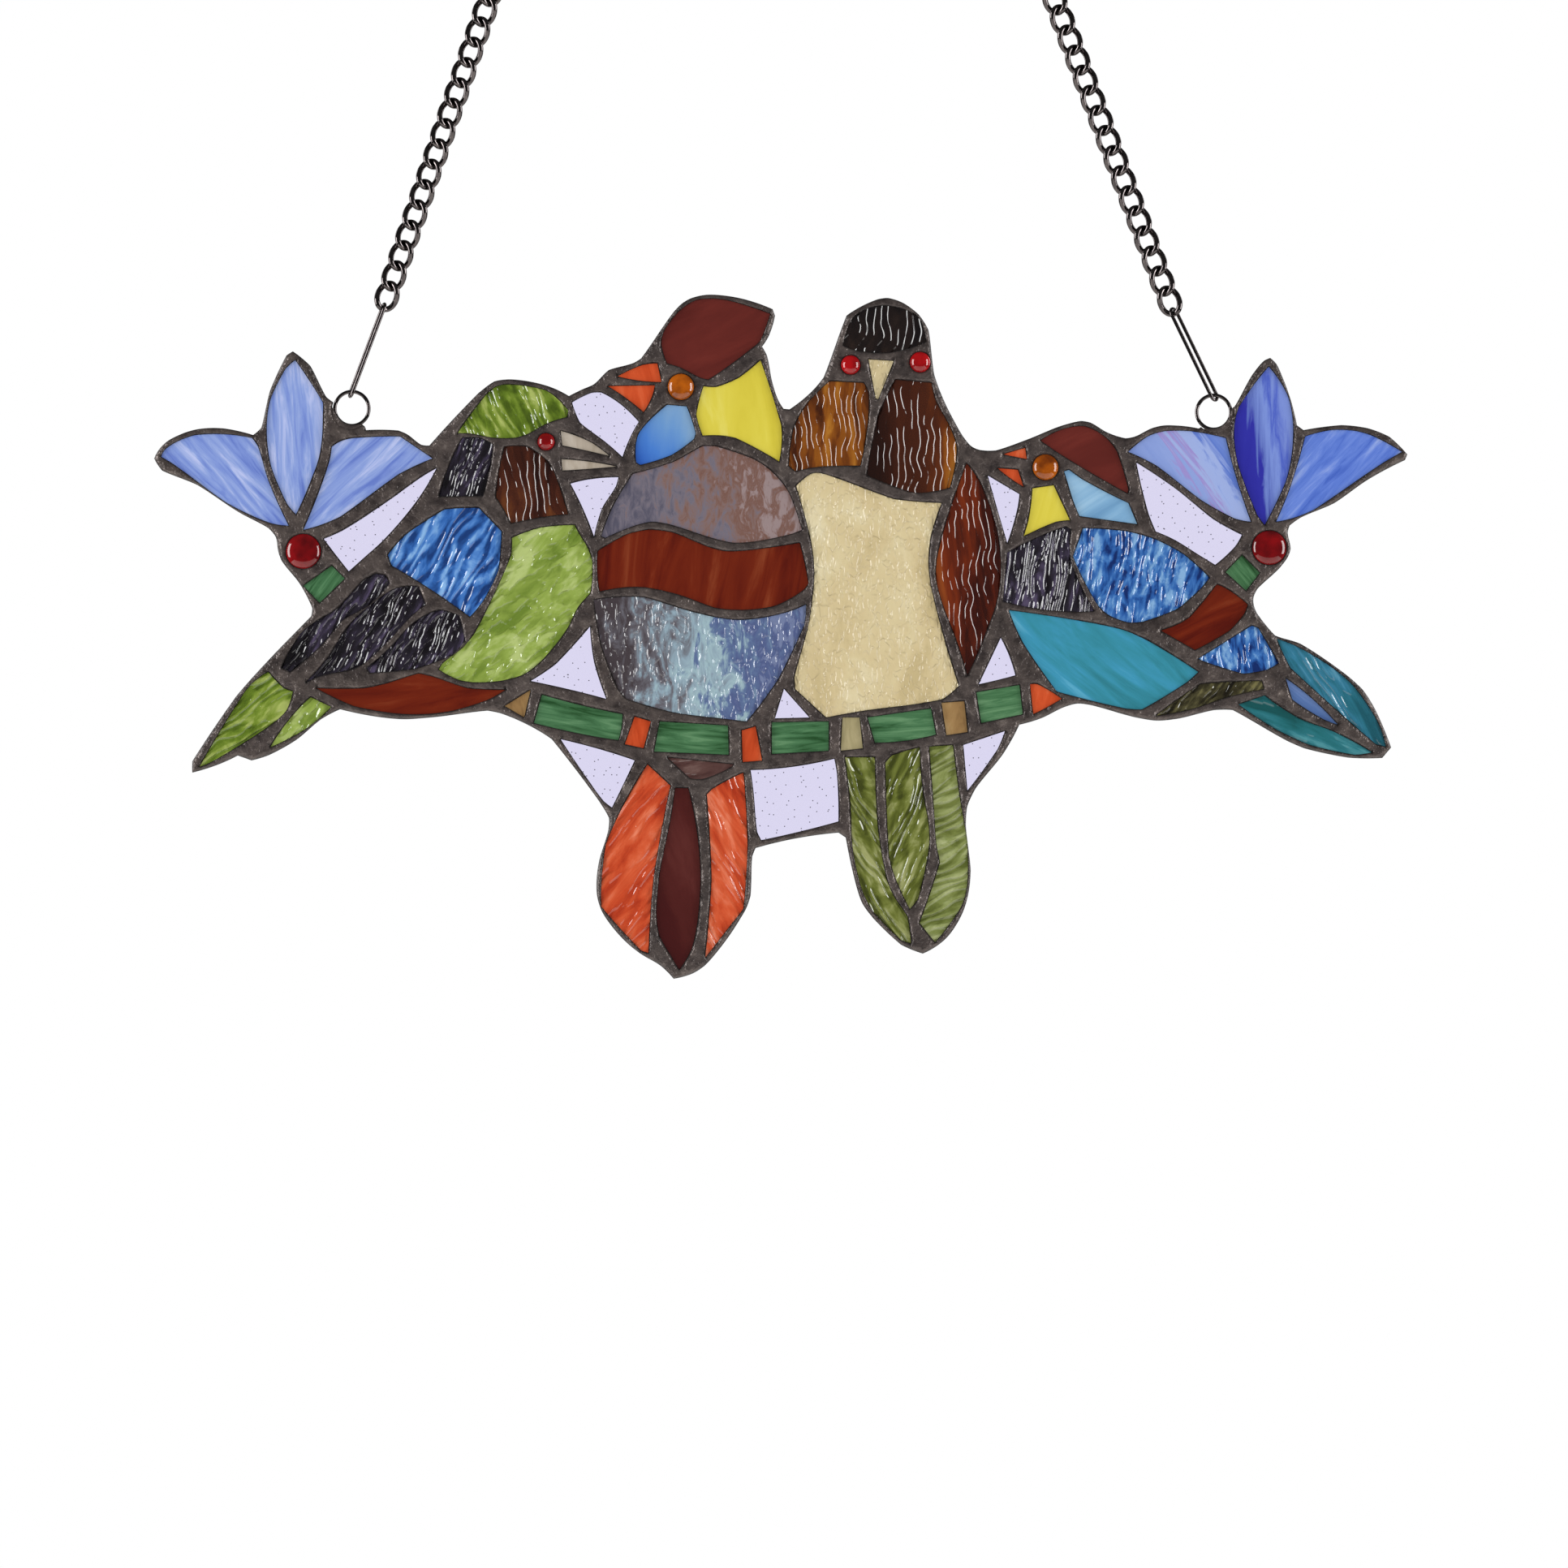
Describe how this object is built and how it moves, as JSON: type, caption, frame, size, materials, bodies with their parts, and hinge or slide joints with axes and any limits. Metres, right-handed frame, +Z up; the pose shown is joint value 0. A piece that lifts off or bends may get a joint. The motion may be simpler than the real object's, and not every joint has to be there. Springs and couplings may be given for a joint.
{
  "type": "stained glass suncatcher",
  "caption": "Hanging stained glass panel of birds on a branch between two blossoms, with soldered seams, domed gems and two chains.",
  "frame": {"origin": "midway between the seats of the two top rings, where the panel hangs from two supports", "axes": "+X to the right of the panel seen from its front, +Z up, the front with the gems faces -Y"},
  "size_m": [0.5146, 0.0174, 0.4245],
  "materials": {
    "leadwork": "dark patina solder",
    "black_nickel": "polished black nickel",
    "periwinkle": "wispy opalescent",
    "red_gem": "polished dome",
    "amber_gem": "polished dome",
    "branch_green": "streaky",
    "clear": "seedy clear",
    "moss": "rippled",
    "sage": "rippled",
    "night": "rippled",
    "chestnut": "wispy",
    "umber": "rippled",
    "azure": "rippled",
    "beige": "opalescent",
    "tan": "opalescent",
    "orange": "wispy opalescent",
    "mahogany": "opalescent",
    "lemon": "streaky",
    "dusk": "mottled",
    "slate": "mottled",
    "maroon": "opalescent",
    "honey": "rippled",
    "cream": "wispy opalescent",
    "olive": "rippled",
    "teal": "streaky",
    "sky": "wispy",
    "bronze": "mottled"
  },
  "bodies": {
    "root": {"leadwork": "leadwork", "left_blossom_petal_left": "periwinkle", "left_blossom_petal_top": "periwinkle", "left_blossom_petal_right": "periwinkle", "left_bird_crest": "moss", "left_bird_nape": "night", "left_bird_cheek": "umber", "left_bird_wing": "azure", "left_bird_feather_outer": "night", "left_bird_feather_middle": "night", "left_bird_feather_inner": "night", "left_bird_breast": "sage", "left_bird_belly": "chestnut", "left_bird_tail": "moss", "second_bird_head": "mahogany", "second_bird_throat": "azure", "second_bird_neck": "lemon", "second_bird_back": "dusk", "second_bird_band": "chestnut", "second_bird_belly": "slate", "second_bird_tail_left": "orange", "second_bird_tail_center": "maroon", "second_bird_tail_right": "orange", "third_bird_cap": "night", "third_bird_shoulder_left": "honey", "third_bird_shoulder_right": "umber", "third_bird_body": "cream", "third_bird_wing": "chestnut", "third_bird_tail_left": "olive", "third_bird_tail_center": "olive", "third_bird_tail_right": "olive", "right_bird_head": "mahogany", "right_bird_throat": "lemon", "right_bird_neck": "sky", "right_bird_chest": "night", "right_bird_wing": "azure", "right_bird_rump": "chestnut", "right_bird_belly": "teal", "right_bird_tail_upper": "teal", "right_bird_tail_lower": "teal", "right_blossom_petal_left": "periwinkle", "right_blossom_petal_top": "periwinkle", "right_blossom_petal_right": "periwinkle", "clear_pane_by_left_blossom": "clear", "clear_pane_between_beaks": "clear", "clear_pane_below_beaks": "clear", "clear_pane_over_branch": "clear", "clear_pane_under_branch_left": "clear", "clear_pane_under_branch_center": "clear", "clear_pane_under_branch_right": "clear", "clear_pane_between_birds": "clear", "clear_pane_by_right_blossom": "clear", "left_soldered_ring": "black_nickel", "right_soldered_ring": "black_nickel", "left_hook": "black_nickel", "right_hook": "black_nickel", "left_chain": "black_nickel", "right_chain": "black_nickel", "left_top_ring": "black_nickel", "right_top_ring": "black_nickel"}
  },
  "joints": []
}
